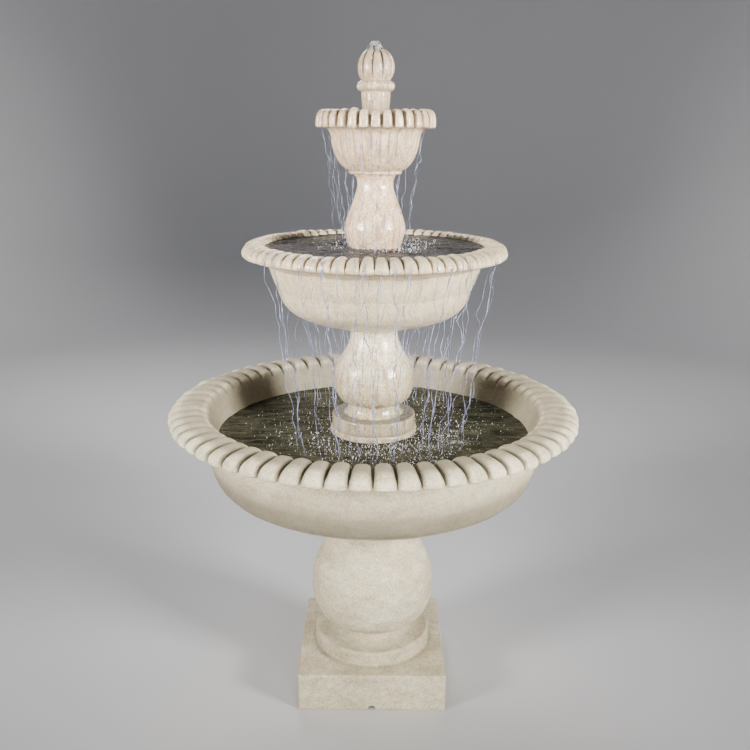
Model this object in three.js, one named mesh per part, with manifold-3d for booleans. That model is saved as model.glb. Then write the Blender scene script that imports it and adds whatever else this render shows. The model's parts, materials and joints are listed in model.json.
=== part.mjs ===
// Three-tier cast-stone garden fountain with its recirculating pump and plumbing.
// Units are millimetres, +Z is up, and the origin is the centre of the plinth's underside.
// The front of the fountain faces -Y. Outlines are [radius, height] pairs, and pieces that
// rest on each other keep the clearance GAP.
import * as THREE from 'three';
import { mergeVertices } from 'three/addons/utils/BufferGeometryUtils.js';
import Module from 'manifold-3d';

const wasm = await Module();
wasm.setup();

// ---------------------------------------------------------------- driving dimensions
const GAP = 0.3;

const PLINTH = { side: 406, top: 108, corner: 8, bevel: 4 };
const RING = { r: 164, top: 152 };
const PEDESTAL = { waistR: 101, waistZ: 183, bulbR: 172, bulbZ: 292, neckR: 114, neckZ: 498, topR: 150 };
const CORE = { r: 78, footR: 160, footTop: 60, coneTop: 118 };
const NOTCH = { width: 22, height: 14 };

const BASIN = { footR: 163, footZ: 575, floorZ: 620, floorR: 290, wallR: 448, wallZ: 760, lobes: 64 };
const HOUSING = { r: 117, boreR: 92, topZ: 762, archWidth: 60, archHeight: 66 };

const FOOT = { r: 112, topZ: 798, stepR: 83 };
const COLUMN = { collarR: 67.3, collarZ: 830, bulbR: 107, bulbZ: 887, neckR: 61.5, neckZ: 1028, boreR: 24 };
const BOWL = { footR: 86, footZ: 1035, floorZ: 1082, floorR: 140, holeR: 15, lobes: 64 };
const UPPER = { footR: 74, footTop: 1120, stemR: 46, bulbR: 78.5, bulbZ: 1292, neckR: 45.6, neckZ: 1402, boreR: 20.5 };
const TOP = { footR: 66, footZ: 1429, floorZ: 1476, floorR: 45, holeR: 13, lobes: 32 };
const FINIAL = { boreR: 9.5, footR: 34, stemR: 24, cupR: 36, collarR: 45, topZ: 1722.5, lobes: 10, turn: -12.5 };

const RISER = { r: 8, wall: 1.5, bottom: 770, top: 1600 };
const HOSE = { innerR: 8.4, wall: 2.6, bottom: 704, top: 796 };
const SPOUT = { r: 9.2, wall: 2.2, bottom: 1680, top: 1741 };
const CLAMP = { width: 9, thickness: 1, lowerZ: 714, upperZ: 782 };

const DRAIN = { x: 60, r: 16 };
const PUMP = { axisZ: 665, width: 68, bottom: 630, height: 70, faceY: 10.3, backY: 72 };
const VOLUTE = { r: 29, chamberR: 24, frontY: -13.5, wallY: -10, backY: 10, plate: 60, inletR: 13 };
const WELL = { r: 14.5, endY: 62 };
const SHAFT = { r: 2, frontY: -15.5, backY: 67.5, runningR: 2.08, bushR: 4, hubR: 7 };
const STRAINER = { size: 65.6, wall: 2.5, frontY: -50, slotPitch: 10, slotWidth: 4 };
const DIAL = { r: 22, thickness: 3, stemR: 5, portR: 4, portCircleR: 14 };
const SUCTION = { r: 11, x: 24, frontY: 22, backY: 60, holeR: 3.2, holeDepth: 6 };

// ---------------------------------------------------------------- finishes
const FINISH = {
  dryStone: { color: 0xbdb8a8, roughness: 0.95, metalness: 0 },
  creamStone: { color: 0xd2caac, roughness: 0.6, metalness: 0 },
  wetStone: { color: 0xcdb9a6, roughness: 0.35, metalness: 0 },
  brass: { color: 0xa98a4c, roughness: 0.35, metalness: 1 },
  vinyl: { color: 0xcfd6d2, roughness: 0.25, metalness: 0 },
  rubber: { color: 0x1d1e1f, roughness: 0.8, metalness: 0 },
  steel: { color: 0xb4b8bb, roughness: 0.3, metalness: 1 },
  housing: { color: 0x202326, roughness: 0.45, metalness: 0 },
  accent: { color: 0x2f5f8a, roughness: 0.4, metalness: 0 },
  magnet: { color: 0x3b3a3d, roughness: 0.5, metalness: 0.3 },
  ceramic: { color: 0xe9e6df, roughness: 0.2, metalness: 0 },
};

// ---------------------------------------------------------------- solid helpers
// A closed geometry as a boolean solid: shared corners merged, zero-area triangles dropped.
function solid(geometry) {
  const bare = geometry.clone();
  bare.deleteAttribute('normal');
  bare.deleteAttribute('uv');
  const merged = mergeVertices(bare, 1e-4);
  const corners = merged.index.array;
  const kept = [];
  for (let i = 0; i < corners.length; i += 3) {
    const [a, b, c] = corners.slice(i, i + 3);
    if (a !== b && b !== c && c !== a) kept.push(a, b, c);
  }
  return new wasm.Manifold(new wasm.Mesh({
    numProp: 3,
    vertProperties: Float32Array.from(merged.attributes.position.array),
    triVerts: Uint32Array.from(kept),
  }));
}

function geometryOf(body) {
  const mesh = body.getMesh();
  const geometry = new THREE.BufferGeometry();
  geometry.setAttribute('position', new THREE.BufferAttribute(mesh.vertProperties, 3));
  geometry.setIndex(new THREE.BufferAttribute(mesh.triVerts, 1));
  geometry.computeVertexNormals();
  return geometry;
}

// Points along a cubic Bezier between two outline points, without its first point.
function curve(a, b, c, d, steps) {
  const points = [a, b, c, d].map(([r, z]) => new THREE.Vector2(r, z));
  return new THREE.CubicBezierCurve(...points).getPoints(steps).slice(1).map((p) => [p.x, p.y]);
}

// A closed outline turned about the Z axis. The outline runs anticlockwise with the radius to
// the right and the height up; one that meets the axis starts and ends on it.
function revolvedGeometry(outline, segments) {
  const touchesAxis = outline[0][0] === 0;
  const loop = touchesAxis ? outline : [...outline, outline[0]];
  const points = loop.map(([r, z]) => new THREE.Vector2(r, z));
  return new THREE.LatheGeometry(points, segments).rotateX(Math.PI / 2);
}

const revolved = (outline, segments) => solid(revolvedGeometry(outline, segments));

// The same, turned about an axis that runs along +Y at the pump's height: heights become y.
function revolvedAlongY(outline, segments) {
  return solid(revolvedGeometry(outline, segments).rotateX(-Math.PI / 2).translate(0, 0, PUMP.axisZ));
}

// A ring of an outline from inner to outer radius between two levels.
const tube = (inner, outer, low, high) => [[inner, low], [outer, low], [outer, high], [inner, high]];
const rod = (r, low, high) => [[0, low], [r, low], [r, high], [0, high]];

function box(x0, x1, y0, y1, z0, z1) {
  const geometry = new THREE.BoxGeometry(x1 - x0, y1 - y0, z1 - z0);
  return solid(geometry.translate((x0 + x1) / 2, (y0 + y1) / 2, (z0 + z1) / 2));
}

// A rectangle with rounded corners, centred on the origin of its plane.
function roundedRectangle(width, height, corner) {
  const x = width / 2;
  const y = height / 2;
  const shape = new THREE.Shape();
  shape.moveTo(x, corner - y);
  shape.lineTo(x, y - corner);
  shape.absarc(x - corner, y - corner, corner, 0, Math.PI / 2);
  shape.lineTo(corner - x, y);
  shape.absarc(corner - x, y - corner, corner, Math.PI / 2, Math.PI);
  shape.lineTo(-x, corner - y);
  shape.absarc(corner - x, corner - y, corner, Math.PI, 1.5 * Math.PI);
  shape.lineTo(x - corner, -y);
  shape.absarc(x - corner, corner - y, corner, 1.5 * Math.PI, 2 * Math.PI);
  return shape;
}

// A doorway outline with a half-round head, standing on the line y = 0.
function archShape(width, height) {
  const half = width / 2;
  const shape = new THREE.Shape();
  shape.moveTo(-half, -1);
  shape.lineTo(half, -1);
  shape.lineTo(half, height - half);
  shape.absarc(0, height - half, half, 0, Math.PI);
  return shape;
}

// An arch-shaped cutter that runs from y0 to y1 and stands at height z.
function archCutter(width, height, y0, y1, z) {
  const options = { depth: y1 - y0, bevelEnabled: false, curveSegments: 8 };
  const geometry = new THREE.ExtrudeGeometry(archShape(width, height), options);
  return solid(geometry.rotateX(Math.PI / 2).translate(0, y1, z));
}

// Triangles between two rings of corners, the first below or outside the second. The coarser
// ring's corners are each shared by several facets of the finer one.
function stitch(lower, upper) {
  const triangles = [];
  const count = Math.max(lower.length, upper.length);
  const pick = (ring, k) => ring[Math.round((k * ring.length) / count) % ring.length];
  for (let k = 0; k < count; k += 1) {
    const [a, b] = [pick(lower, k), pick(lower, k + 1)];
    const [c, d] = [pick(upper, k), pick(upper, k + 1)];
    if (a !== b) triangles.push(a, b, c);
    if (c !== d) triangles.push(c, b, d);
  }
  return triangles;
}

// A bowl with a lobed rim, turned about the Z axis. The outline runs anticlockwise: up the
// outside, over the rim and down the inside. The rim has one corner on each lobe and one in
// each groove, where its inner corners shrink by `depth` towards the heart of its section.
function lobedBowl({ outside, rim, inside, facets, lobes, heart, depth, lobeInFront }) {
  const corners = [];
  const ring = (count, at) => {
    const indices = [];
    for (let k = 0; k < count; k += 1) {
      const [r, z] = at(k);
      const angle = (2 * Math.PI * k) / count;
      indices.push(corners.length / 3);
      corners.push(r * Math.sin(angle), -r * Math.cos(angle), z);
    }
    return indices;
  };
  const plainRing = (point) => ring(point[0] === 0 ? 1 : facets, () => point);
  const lobedRing = ([r, z], i) => ring(2 * lobes, (k) => {
    const groove = (k % 2 === 1) === lobeInFront && i > 0 && i < rim.length - 1;
    const scale = groove ? 1 - depth : 1;
    return [heart[0] + (r - heart[0]) * scale, heart[1] + (z - heart[1]) * scale];
  });
  const rings = [...outside.map(plainRing), ...rim.map(lobedRing), ...inside.map(plainRing)];
  const triangles = rings.slice(1).flatMap((upper, i) => stitch(rings[i], upper));
  if (outside[0][0] > 0) triangles.push(...stitch(rings[rings.length - 1], rings[0]));
  return new wasm.Manifold(new wasm.Mesh({
    numProp: 3,
    vertProperties: Float32Array.from(corners),
    triVerts: Uint32Array.from(triangles),
  }));
}

// ---------------------------------------------------------------- cast-stone pieces
function basePedestal() {
  const P = PEDESTAL;
  const topZ = BASIN.footZ - GAP;
  const turned = revolved([
    [0, PLINTH.top - 20],
    [RING.r, PLINTH.top - 20],
    [RING.r, RING.top],
    ...curve([RING.r, RING.top], [128, RING.top - 2], [P.waistR, 160], [P.waistR, P.waistZ], 3),
    ...curve([P.waistR, P.waistZ], [142, P.waistZ + 2], [P.bulbR, 222], [P.bulbR, P.bulbZ], 4),
    ...curve([P.bulbR, P.bulbZ], [P.bulbR, 387], [109, 416], [P.neckR, P.neckZ], 5),
    ...curve([P.neckR, P.neckZ], [116, 535], [126, 560], [P.topR, topZ - 8], 2),
    [P.topR, topZ],
    [0, topZ],
  ], 32);
  const square = PLINTH.side - 2 * PLINTH.bevel;
  const block = new THREE.ExtrudeGeometry(roundedRectangle(square, square, PLINTH.corner - PLINTH.bevel), {
    depth: PLINTH.top - 2 * PLINTH.bevel,
    bevelSize: PLINTH.bevel,
    bevelThickness: PLINTH.bevel,
    bevelSegments: 1,
    curveSegments: 2,
  });
  const hollow = revolved([
    [0, -1], [CORE.footR, -1], [CORE.footR, CORE.footTop], [CORE.r, CORE.coneTop], [CORE.r, 600], [0, 600],
  ], 24);
  return solid(block.translate(0, 0, PLINTH.bevel))
    .add(turned)
    .subtract(hollow)
    .subtract(archCutter(NOTCH.width, NOTCH.height, -PLINTH.side, 0, 0));
}

function lowerBasin() {
  const B = BASIN;
  const bowl = lobedBowl({
    outside: [
      [0, B.footZ],
      [B.footR, B.footZ],
      ...curve([B.footR, B.footZ], [399, 584], [445, 595], [B.wallR, B.wallZ], 6),
    ],
    rim: [[466, 787], [543, 800], [545, 809], [521, 827], [470, 833], [436, 800]],
    inside: [...curve([436, 786], [402, 708], [395, 628], [B.floorR, B.floorZ], 5), [0, B.floorZ]],
    facets: 40,
    lobes: B.lobes,
    heart: [490, 800],
    depth: 0.32,
    lobeInFront: false,
  });
  const drain = revolved(rod(DRAIN.r, B.footZ - 5, B.floorZ + 5), 24).translate([DRAIN.x, 0, 0]);
  return bowl.subtract(drain);
}

function pumpHousing() {
  const H = HOUSING;
  const low = BASIN.floorZ + GAP;
  const drum = revolved([
    [H.boreR, low], [H.r, low], [H.r, H.topZ - 8], [H.r - 3, H.topZ - 2], [H.r - 8, H.topZ], [H.boreR, H.topZ],
  ], 32);
  const across = archCutter(H.archWidth, H.archHeight, -H.r - 9, H.r + 9, BASIN.floorZ);
  return drum.subtract(across).subtract(across.rotate([0, 0, 90]));
}

function middleColumn() {
  const C = COLUMN;
  const low = HOUSING.topZ + GAP;
  return revolved([
    [C.boreR, low],
    [FOOT.r, low],
    [FOOT.r, FOOT.topZ - 3],
    [FOOT.r - 3, FOOT.topZ],
    [FOOT.stepR, FOOT.topZ],
    ...curve([FOOT.stepR, FOOT.topZ], [73, 801], [C.collarR, 812], [C.collarR, C.collarZ], 3),
    ...curve([C.collarR, C.collarZ], [90, C.collarZ], [C.bulbR, 852], [C.bulbR, C.bulbZ], 4),
    ...curve([C.bulbR, C.bulbZ], [C.bulbR, 962], [C.neckR, 961], [C.neckR, C.neckZ], 6),
    [C.neckR, BOWL.footZ - GAP],
    [C.boreR, BOWL.footZ - GAP],
  ], 32);
}

function middleBowl() {
  const B = BOWL;
  return lobedBowl({
    outside: [
      [B.holeR, B.footZ],
      [B.footR, B.footZ],
      [B.footR, B.footZ + 11],
      [101, B.footZ + 13],
      ...curve([101, B.footZ + 13], [225, 1062], [245, 1095], [256, 1160], 5),
      [267, 1192],
    ],
    rim: [[298, 1217], [338, 1227], [339, 1237], [324, 1254], [298, 1260], [282, 1240]],
    inside: [...curve([281, 1228], [266, 1145], [238, 1086], [B.floorR, B.floorZ], 5), [B.holeR, B.floorZ]],
    facets: 36,
    lobes: B.lobes,
    heart: [309, 1231],
    depth: 0.4,
    lobeInFront: false,
  });
}

function upperColumn() {
  const U = UPPER;
  const low = BOWL.floorZ + GAP;
  const high = TOP.footZ - GAP;
  return revolved([
    [U.boreR, low],
    [U.footR, low],
    [U.footR, U.footTop],
    ...curve([U.footR, U.footTop], [54, 1126], [U.stemR, 1145], [U.stemR, 1185], 3),
    [U.stemR, 1212],
    ...curve([U.stemR, 1212], [56, 1224], [75, 1258], [U.bulbR, U.bulbZ], 4),
    ...curve([U.bulbR, U.bulbZ], [U.bulbR, 1318], [U.neckR, 1376], [U.neckR, U.neckZ], 5),
    ...curve([U.neckR, U.neckZ], [U.neckR, 1412], [47, 1420], [52.6, high], 2),
    [U.boreR, high],
  ], 28);
}

function topBowl() {
  const T = TOP;
  return lobedBowl({
    outside: [
      [T.holeR, T.footZ],
      [T.footR, T.footZ],
      [T.footR, T.footZ + 8],
      ...curve([68, T.footZ + 9], [98, 1452], [109, 1486], [111.5, 1518], 5),
    ],
    rim: [[123, 1537], [147, 1544], [149, 1556], [142, 1575], [125, 1583], [104, 1562]],
    inside: [...curve([105, 1550], [98, 1505], [84, 1478], [T.floorR, T.floorZ], 4), [T.holeR, T.floorZ]],
    facets: 32,
    lobes: T.lobes,
    heart: [126, 1548],
    depth: 0.5,
    lobeInFront: true,
  });
}

// The finial: a foot and stem that stand in the top bowl, a cup, a collar and a lobed ball.
function finial() {
  const F = FINIAL;
  const ballZ = 1654;
  const outline = [
    [18, TOP.floorZ + GAP],
    [F.footR, TOP.floorZ + GAP],
    [F.footR, 1486],
    ...curve([F.footR, 1486], [F.stemR, 1490], [F.stemR, 1500], [F.stemR, 1520], 1),
    [F.stemR, 1566],
    ...curve([F.stemR, 1566], [32, 1576], [F.cupR, 1600], [F.cupR, 1625], 4),
    [38, 1628],
    [F.collarR, 1633],
    [F.collarR, 1645],
    [38, 1651],
    [34, ballZ],
    ...curve([34, ballZ], [50, 1672], [45, 1708], [17, F.topZ], 6),
    [F.boreR, F.topZ],
    [F.boreR, 1488],
    [18, 1486],
  ];
  const geometry = revolvedGeometry(outline, F.lobes * 2);
  const position = geometry.attributes.position;
  for (let i = 0; i < position.count; i += 1) {
    const [x, y, z] = [position.getX(i), position.getY(i), position.getZ(i)];
    if (z <= ballZ || Math.hypot(x, y) < F.boreR + 1) continue;
    const scale = 1 - 0.09 * Math.cos((F.lobes / 2) * Math.atan2(x, -y)) ** 2;
    position.setXYZ(i, x * scale, y * scale, z);
  }
  return solid(geometry).rotate([0, 0, F.turn]);
}

// ---------------------------------------------------------------- plumbing
const finialSpout = () => revolved(tube(SPOUT.r - SPOUT.wall, SPOUT.r, SPOUT.bottom, SPOUT.top), 24);
const riserTube = () => revolved(tube(RISER.r - RISER.wall, RISER.r, RISER.bottom, RISER.top), 20);
const supplyHose = () => revolved(tube(HOSE.innerR, HOSE.innerR + HOSE.wall, HOSE.bottom, HOSE.top), 24);

// A rubber bung with a flange, which seals a bowl's centre hole round the riser.
function bung(holeR, flangeR, floorZ, depth) {
  const inner = RISER.r + GAP;
  return revolved([
    [inner, floorZ - depth],
    [holeR - 1.6, floorZ - depth],
    [holeR - 0.4, floorZ - 1],
    [holeR - 0.4, floorZ + GAP],
    [flangeR, floorZ + GAP],
    [flangeR, floorZ + 4],
    [flangeR - 1.5, floorZ + 5],
    [inner, floorZ + 5],
  ], 18);
}

// The tapered rubber stopper in the basin's drain, with a passage for the pump's cord.
function basinStopper() {
  const z = BASIN.floorZ;
  return revolved([
    [3.2, z - 38], [13.6, z - 38], [DRAIN.r - 0.5, z - 1], [DRAIN.r - 0.5, z + GAP], [20, z + GAP],
    [20, z + 5], [17, z + 7], [3.2, z + 7],
  ], 18).translate([DRAIN.x, 0, 0]);
}

// A worm-drive clamp: a steel band and the housing that its screw runs through.
function clampBand(z) {
  const inner = HOSE.innerR + HOSE.wall + GAP;
  const outer = inner + CLAMP.thickness;
  const band = revolved(tube(inner, outer, z - CLAMP.width / 2, z + CLAMP.width / 2), 20);
  const housing = box(-5, 5, -outer - 6, -outer + 0.6, z - 5, z + 5);
  const screwHole = solid(new THREE.CylinderGeometry(2.5, 2.5, 20, 12).rotateZ(Math.PI / 2)
    .translate(0, -outer - 3, z));
  return band.add(housing).subtract(screwHole);
}

function clampScrew(z) {
  const y = -(HOSE.innerR + HOSE.wall + GAP + CLAMP.thickness + 3);
  const thread = new THREE.CylinderGeometry(2.2, 2.2, 15, 12).rotateZ(Math.PI / 2).translate(0.5, y, z);
  const head = new THREE.CylinderGeometry(3.6, 3.6, 4, 6).rotateZ(Math.PI / 2).translate(8.5, y, z);
  return solid(thread).add(solid(head));
}

// ---------------------------------------------------------------- pump
function pumpMotorBody() {
  const bevel = 3;
  const shape = roundedRectangle(PUMP.width - 2 * bevel, PUMP.height - 2 * bevel, 9);
  const block = new THREE.ExtrudeGeometry(shape, {
    depth: PUMP.backY - PUMP.faceY - 2 * bevel,
    bevelSize: bevel,
    bevelThickness: bevel,
    bevelSegments: 1,
    curveSegments: 3,
  }).rotateX(Math.PI / 2).translate(0, PUMP.backY - bevel, PUMP.bottom + PUMP.height / 2);
  const face = PUMP.faceY;
  let body = solid(block)
    .subtract(revolvedAlongY(rod(WELL.r, face - 1, WELL.endY), 20))
    .subtract(revolvedAlongY(rod(6.3, face - 1, WELL.endY + 6), 14))
    .subtract(revolvedAlongY(tube(25.5, 28.5, face - 1, face + 2.8), 24));
  for (const [x, y] of suctionPlaces()) {
    const hole = rod(SUCTION.holeR, PUMP.bottom - 1, PUMP.bottom + SUCTION.holeDepth);
    body = body.subtract(revolved(hole, 8).translate([x, y, 0]));
  }
  return body;
}

function suctionPlaces() {
  const { x, frontY, backY } = SUCTION;
  return [[-x, frontY], [x, frontY], [-x, backY], [x, backY]];
}

// A suction foot: a shallow cup and a stem that plugs into the motor body.
function suctionFoot([x, y]) {
  const z = BASIN.floorZ + GAP;
  return revolved([
    [0, z + 2.5], [SUCTION.r - 1.5, z], [SUCTION.r, z], [SUCTION.r, z + 2], [5, z + 6.5],
    [5, PUMP.bottom - GAP], [2.9, PUMP.bottom - GAP], [2.9, PUMP.bottom + 5], [0, PUMP.bottom + 5],
  ], 10).translate([x, y, 0]);
}

// The pump chamber: a cup open to the motor, a mounting plate, a spoked inlet and the outlet pipe.
function voluteCover() {
  const V = VOLUTE;
  const half = V.plate / 2;
  const z = PUMP.axisZ;
  const outletTop = HOSE.bottom + 20;
  let cover = revolvedAlongY(rod(V.r, V.frontY, V.backY), 32)
    .add(box(-half, half, V.frontY, V.wallY, z - half, z + half))
    .add(revolved(rod(RISER.r, z + 10, outletTop), 20))
    .subtract(revolvedAlongY(rod(V.chamberR, V.wallY, V.backY + 1), 32))
    .subtract(revolvedAlongY(rod(V.inletR, V.frontY - 1, V.wallY + 1), 24))
    .subtract(revolved(rod(RISER.r - 2.5, z + 10, outletTop + 1), 20));
  cover = cover.add(revolvedAlongY(rod(SHAFT.hubR, V.frontY - 2, V.wallY), 20));
  for (const turn of [0, 120, 240]) {
    const spoke = box(-1.5, 1.5, V.frontY, V.wallY, 0, V.inletR + 1);
    cover = cover.add(spoke.rotate([0, turn, 0]).translate([0, 0, z]));
  }
  return cover.subtract(revolvedAlongY(rod(SHAFT.bushR + GAP, V.frontY - 3, V.wallY + 1), 16));
}

// The static seal in the motor's face groove.
function volutePackingRing() {
  const circle = [];
  for (let i = 0; i < 6; i += 1) {
    const a = (i * Math.PI) / 3;
    circle.push([27 + 1.2 * Math.cos(a), PUMP.faceY + 1.4 + 1.2 * Math.sin(a)]);
  }
  return revolvedAlongY(circle, 24);
}

const rotorShaft = () => revolvedAlongY(rod(SHAFT.r, SHAFT.frontY, SHAFT.backY), 16);
const rearBush = () => revolvedAlongY(tube(SHAFT.r + 0.1, 6, WELL.endY + GAP, WELL.endY + 5.7), 16);
const frontBush = () => revolvedAlongY(tube(SHAFT.r + 0.1, SHAFT.bushR, VOLUTE.frontY - 2, VOLUTE.wallY), 16);
const rotorMagnet = () => revolvedAlongY(tube(SHAFT.runningR, 13, 12, WELL.endY - 1.5), 24);

// The impeller: a hub and back plate that carry straight radial blades.
function impeller() {
  let wheel = revolvedAlongY(rod(5.5, -8, 11.7), 20).add(revolvedAlongY(rod(20, 6, 8), 32));
  const blades = 6;
  for (let i = 0; i < blades; i += 1) {
    const blade = box(-1, 1, -7, 6.5, 3, 19);
    wheel = wheel.add(blade.rotate([0, (i * 360) / blades, 0]).translate([0, 0, PUMP.axisZ]));
  }
  return wheel.subtract(revolvedAlongY(rod(SHAFT.runningR, -9, 13), 24));
}

// Four equal ports round the pump's axis, as cutters between two y levels.
function portCutters(y0, y1) {
  const { portR, portCircleR } = DIAL;
  return [0, 90, 180, 270].map((turn) => {
    const port = solid(revolvedGeometry(rod(portR, y0, y1), 12).rotateX(-Math.PI / 2));
    return port.translate([portCircleR, 0, 0]).rotate([0, turn, 0]).translate([0, 0, PUMP.axisZ]);
  });
}

// The snap-on strainer: a slotted box over the inlet, open towards the pump.
function strainerCover() {
  const { size, wall, frontY, slotPitch, slotWidth } = STRAINER;
  const half = size / 2;
  const inner = half - wall;
  const z = PUMP.axisZ;
  const backY = VOLUTE.wallY;
  let cover = box(-half, half, frontY, backY, z - half, z + half)
    .subtract(box(-inner, inner, frontY + wall, backY + 1, z - inner, z + inner));
  for (let i = -2; i <= 2; i += 1) {
    const at = i * slotPitch;
    const [low, high] = [at - slotWidth / 2, at + slotWidth / 2];
    cover = cover
      .subtract(box(low, high, frontY + 6, -19, z - half - 1, z + half + 1))
      .subtract(box(-half - 1, half + 1, frontY + 6, -19, z + low, z + high));
  }
  for (const port of portCutters(frontY - 1, frontY + wall + 1)) cover = cover.subtract(port);
  return cover.subtract(revolvedAlongY(rod(DIAL.stemR + GAP, frontY - 1, frontY + wall + 1), 20));
}

// The flow dial: a ported disc and finger grip in front, held by a snap collar behind.
function flowDial() {
  const { r, thickness, stemR } = DIAL;
  const { frontY, wall } = STRAINER;
  const face = frontY - GAP;
  let dial = revolvedAlongY([
    [0, face - thickness], [r, face - thickness], [r, face], [stemR, face],
    [stemR, frontY + wall + GAP], [stemR + 2.5, frontY + wall + GAP], [stemR + 1, frontY + wall + 3],
    [0, frontY + wall + 3],
  ], 24);
  for (const port of portCutters(face - thickness - 1, face + 1)) dial = dial.subtract(port);
  const grip = box(-2.5, 2.5, face - thickness - 5, face - thickness + 0.5, -18, 18).rotate([0, 45, 0]);
  return dial.add(grip.translate([0, 0, PUMP.axisZ]));
}

// The gland that the pump's supply cord leaves by, on the motor body's side.
function cordGland() {
  const side = PUMP.width / 2 + GAP;
  const outline = [[3.2, 0], [8, 0], [8, 3], [6, 4], [4.6, 12], [3.2, 12]];
  return solid(revolvedGeometry(outline, 18).rotateY(Math.PI / 2).translate(side, 45, 652));
}

// ---------------------------------------------------------------- assembly
const fountain = new THREE.Group();

function place(name, finish, body) {
  const mesh = new THREE.Mesh(geometryOf(body), new THREE.MeshStandardMaterial(FINISH[finish]));
  mesh.name = name;
  fountain.add(mesh);
}

place('base_pedestal', 'dryStone', basePedestal());
place('lower_basin', 'dryStone', lowerBasin());
place('pump_housing', 'wetStone', pumpHousing());
place('middle_column', 'wetStone', middleColumn());
place('middle_bowl', 'creamStone', middleBowl());
place('upper_column', 'wetStone', upperColumn());
place('top_bowl', 'wetStone', topBowl());
place('finial', 'wetStone', finial());

place('finial_spout', 'brass', finialSpout());
place('riser_tube', 'vinyl', riserTube());
place('supply_hose', 'vinyl', supplyHose());
for (const [level, z] of [['lower', CLAMP.lowerZ], ['upper', CLAMP.upperZ]]) {
  place(`hose_clamp_${level}`, 'steel', clampBand(z));
  place(`hose_clamp_${level}_screw`, 'steel', clampScrew(z));
}
place('middle_bowl_bung', 'rubber', bung(BOWL.holeR, 19, BOWL.floorZ, 36));
place('top_bowl_bung', 'rubber', bung(TOP.holeR, 16, TOP.floorZ, 36));
place('basin_stopper', 'rubber', basinStopper());

place('pump_motor_body', 'housing', pumpMotorBody());
place('pump_volute_cover', 'housing', voluteCover());
place('volute_o_ring', 'rubber', volutePackingRing());
place('impeller', 'accent', impeller());
place('rotor_magnet', 'magnet', rotorMagnet());
place('rotor_shaft', 'ceramic', rotorShaft());
place('rotor_rear_bush', 'rubber', rearBush());
place('rotor_front_bush', 'rubber', frontBush());
place('strainer_cover', 'housing', strainerCover());
place('flow_dial', 'accent', flowDial());
const FOOT_NAMES = ['front_left', 'front_right', 'rear_left', 'rear_right'];
suctionPlaces().forEach((at, i) => place(`suction_foot_${FOOT_NAMES[i]}`, 'rubber', suctionFoot(at)));
place('pump_cord_gland', 'rubber', cordGland());

export default fountain;
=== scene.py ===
"""Looks of a three-tier cast-stone garden fountain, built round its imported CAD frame.

Lengths in the outlines are millimetres, heights are measured from the named CAD node's own
underside, and meshes are made in metres in the row frame. Angles are measured round the axis from
the front (-Y), positive towards +X.
"""

import json
import math
from types import SimpleNamespace

import bmesh
import bpy
import numpy as np
from mathutils import Matrix, Vector


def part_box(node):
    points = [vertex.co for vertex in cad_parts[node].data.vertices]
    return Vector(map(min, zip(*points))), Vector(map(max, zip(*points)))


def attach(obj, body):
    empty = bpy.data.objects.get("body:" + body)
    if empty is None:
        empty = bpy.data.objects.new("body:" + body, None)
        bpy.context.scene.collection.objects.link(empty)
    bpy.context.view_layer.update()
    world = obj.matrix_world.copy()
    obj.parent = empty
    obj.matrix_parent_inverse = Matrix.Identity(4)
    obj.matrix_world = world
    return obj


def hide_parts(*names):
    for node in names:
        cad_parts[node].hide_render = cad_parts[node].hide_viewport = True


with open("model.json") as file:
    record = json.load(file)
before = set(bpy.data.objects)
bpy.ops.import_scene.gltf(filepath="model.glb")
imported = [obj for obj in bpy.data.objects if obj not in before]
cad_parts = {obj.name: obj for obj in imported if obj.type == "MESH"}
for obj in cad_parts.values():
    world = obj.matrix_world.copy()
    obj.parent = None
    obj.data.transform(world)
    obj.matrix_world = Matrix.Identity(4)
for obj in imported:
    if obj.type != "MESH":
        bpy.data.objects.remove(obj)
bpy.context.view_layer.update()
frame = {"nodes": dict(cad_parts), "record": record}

MM = 0.001
rng = np.random.default_rng(7)


def level(node, end=0):
    """The height of a CAD node's underside (end 0) or top (end 1), in millimetres."""
    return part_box(node)[end].z / MM


# ---------------------------------------------------------------- driving dimensions, millimetres
PLINTH_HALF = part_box("base_pedestal")[1].x / MM
PLINTH_TOP = 108
PLINTH_BEVEL = 4
PLINTH_CORNER = 8
BORE_R = 78
FOOT_HOLLOW_R = 160
NOTCH_WIDTH = 22
NOTCH_HEIGHT = 14

LOBE_VARIATION = 0.035  # how much one lobe stands proud of the next, as a share of its depth
DARKEST_GROOVE = 7  # a groove this deep gets the most dirt and painted shade
LOWER_LOBES = 64
MIDDLE_LOBES = 64
TOP_LOBES = 32
FINIAL_LOBES = 10
FINIAL_TURN = math.radians(-12.5)
COLLAR_LOBES = 20
COLLAR_HEIGHTS = (149, 176)

DRAIN_X = 60
DRAIN_R = 16
DRUM_ARCH_WIDTH = 60
DRUM_ARCH_HEIGHT = 66

LOWER_WATER = level("lower_basin") + 172
MIDDLE_WATER = level("middle_bowl") + 211
TOP_WATER = level("top_bowl") + 133
FOAM_SIDE = math.radians(25)
STRAND_STEPS = 44
STRAND_KINKS = 16
STRAND_SIDES = 6

STONE_SHARP_ANGLE = 50  # degrees; faces that meet more sharply than this keep a hard edge
CAD_SHARP_ANGLE = 35

# The camera is at a standing person's eye height, a little over two metres away.
CAMERA_PLACE = (0.003, -2.201, 1.527)
CAMERA_PITCH = math.radians(15.88)
CAMERA_ROLL = math.radians(0.42)
CAMERA_LENS = 40.8
SENSOR_WIDTH = 36


# ---------------------------------------------------------------- outlines
def curve(a, b, c, d, steps):
    """Points along a cubic Bezier from a to d, without a itself."""
    a, b, c, d = (np.array(p, float) for p in (a, b, c, d))
    t = (np.arange(1, steps + 1) / steps)[:, None]
    points = (1 - t) ** 3 * a + 3 * (1 - t) ** 2 * t * b + 3 * (1 - t) * t**2 * c + t**3 * d
    return [tuple(p) for p in points]


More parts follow.
